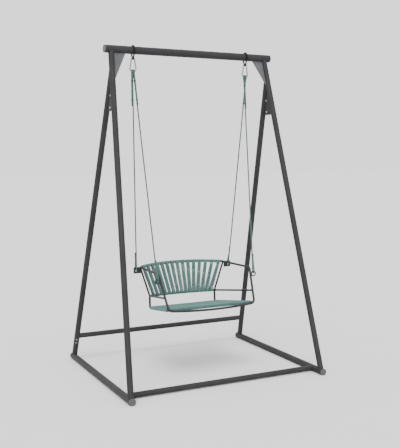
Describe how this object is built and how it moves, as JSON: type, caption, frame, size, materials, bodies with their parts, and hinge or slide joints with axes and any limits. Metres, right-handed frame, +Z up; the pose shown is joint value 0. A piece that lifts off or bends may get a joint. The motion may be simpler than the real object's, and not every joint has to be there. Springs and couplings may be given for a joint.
{
  "type": "garden swing",
  "caption": "Rope-woven swing seat with arms and a curved back, hung by four ropes and snap hooks from a free-standing steel A-frame.",
  "frame": {"origin": "on the floor at the middle of the stand's footprint", "axes": "+Z up, +X along the top beam, +Y towards the back of the seat"},
  "size_m": [1.401, 1.156, 2.16],
  "materials": {
    "frame_paint": "fine matt powder coat",
    "hanger_black": "satin black",
    "zinc_steel": "zinc plated",
    "inner_steel": "plain steel",
    "black_plastic": "moulded",
    "rope": "braided rope",
    "woven_cord": "braided cord"
  },
  "bodies": {
    "stand": {"top_beam": "frame_paint", "beam_end_caps": "black_plastic", "front_leg_left": "frame_paint", "front_leg_right": "frame_paint", "rear_leg_left": "frame_paint", "rear_leg_right": "frame_paint", "corner_gussets": "frame_paint", "front_leg_plates": "frame_paint", "rear_leg_plates": "frame_paint", "plate_bolts": "zinc_steel", "plate_cap_nuts": "zinc_steel", "base_tube_left": "frame_paint", "base_tube_right": "frame_paint", "base_end_caps": "black_plastic", "leg_spigots": "inner_steel", "leg_screws": "zinc_steel", "front_bar": "frame_paint", "rear_bar": "frame_paint", "bar_spigots": "inner_steel", "bar_screws": "zinc_steel", "hanger_ring_left": "hanger_black", "hanger_ring_right": "hanger_black"},
    "hook_left": {"snap_hook_left": "zinc_steel", "gate_pin_left": "zinc_steel"},
    "hook_right": {"snap_hook_right": "zinc_steel", "gate_pin_right": "zinc_steel"},
    "gate_left": {"hook_gate_left": "zinc_steel", "gate_spring_left": "zinc_steel"},
    "gate_right": {"hook_gate_right": "zinc_steel", "gate_spring_right": "zinc_steel"},
    "ropes_left": {"rear_rope_left": "rope", "front_rope_left": "rope", "rope_whippings_left": "woven_cord"},
    "ropes_right": {"rear_rope_right": "rope", "front_rope_right": "rope", "rope_whippings_right": "woven_cord"},
    "seat": {"back_top_rail": "frame_paint", "back_lower_rail": "frame_paint", "back_post_left": "frame_paint", "back_post_right": "frame_paint", "arm_tube_left": "frame_paint", "arm_tube_right": "frame_paint", "front_rail": "frame_paint", "side_rail_left": "frame_paint", "side_rail_right": "frame_paint", "seat_side_tube_left": "frame_paint", "seat_side_tube_right": "frame_paint", "seat_rear_bar": "frame_paint", "seat_front_bar": "frame_paint", "rear_lugs": "frame_paint", "front_eyes": "frame_paint", "top_rail_wrap": "woven_cord", "lower_rail_wrap": "woven_cord", "back_slats": "woven_cord", "seat_weave": "woven_cord"}
  },
  "joints": [
    {"name": "swing_left", "type": "hinge", "parent": "stand", "child": "hook_left", "pos_m": [-0.416, 0.032, 2.079], "axis": [1, 0, 0], "range_deg": [-30, 30]},
    {"name": "swing_right", "type": "hinge", "parent": "stand", "child": "hook_right", "pos_m": [0.416, 0.032, 2.079], "axis": [1, 0, 0], "range_deg": [-30, 30]},
    {"name": "sway", "type": "hinge", "parent": "hook_left", "child": "ropes_left", "pos_m": [-0.416, 0.032, 2.009], "axis": [0, 1, 0], "range_deg": [-5, 5]},
    {"name": "seat_on_left_ropes", "type": "hinge", "parent": "ropes_left", "child": "seat", "pos_m": [-0.356, -0.025, 0.665], "axis": [0, 1, 0], "range_deg": [-6, 6]},
    {"name": "seat_on_right_ropes", "type": "hinge", "parent": "seat", "child": "ropes_right", "pos_m": [0.356, -0.025, 0.665], "axis": [0, 1, 0], "range_deg": [-6, 6]},
    {"name": "gate_left_pivot", "type": "hinge", "parent": "hook_left", "child": "gate_left", "pos_m": [-0.43385, 0.032, 2.02401], "axis": [0, 1, 0], "range_deg": [0, 20], "stiffness_Nm_per_rad": 0.15, "springref_deg": -17.19},
    {"name": "gate_right_pivot", "type": "hinge", "parent": "hook_right", "child": "gate_right", "pos_m": [0.43385, 0.032, 2.02401], "axis": [0, 1, 0], "range_deg": [-20, 0], "stiffness_Nm_per_rad": 0.15, "springref_deg": 17.19}
  ],
  "couplings": [
    {"joint": "swing_right", "follows": "swing_left", "ratio": 1},
    {"joint": "seat_on_left_ropes", "follows": "sway", "ratio": -1.1685},
    {"joint": "seat_on_right_ropes", "follows": "sway", "ratio": 1.1685}
  ]
}
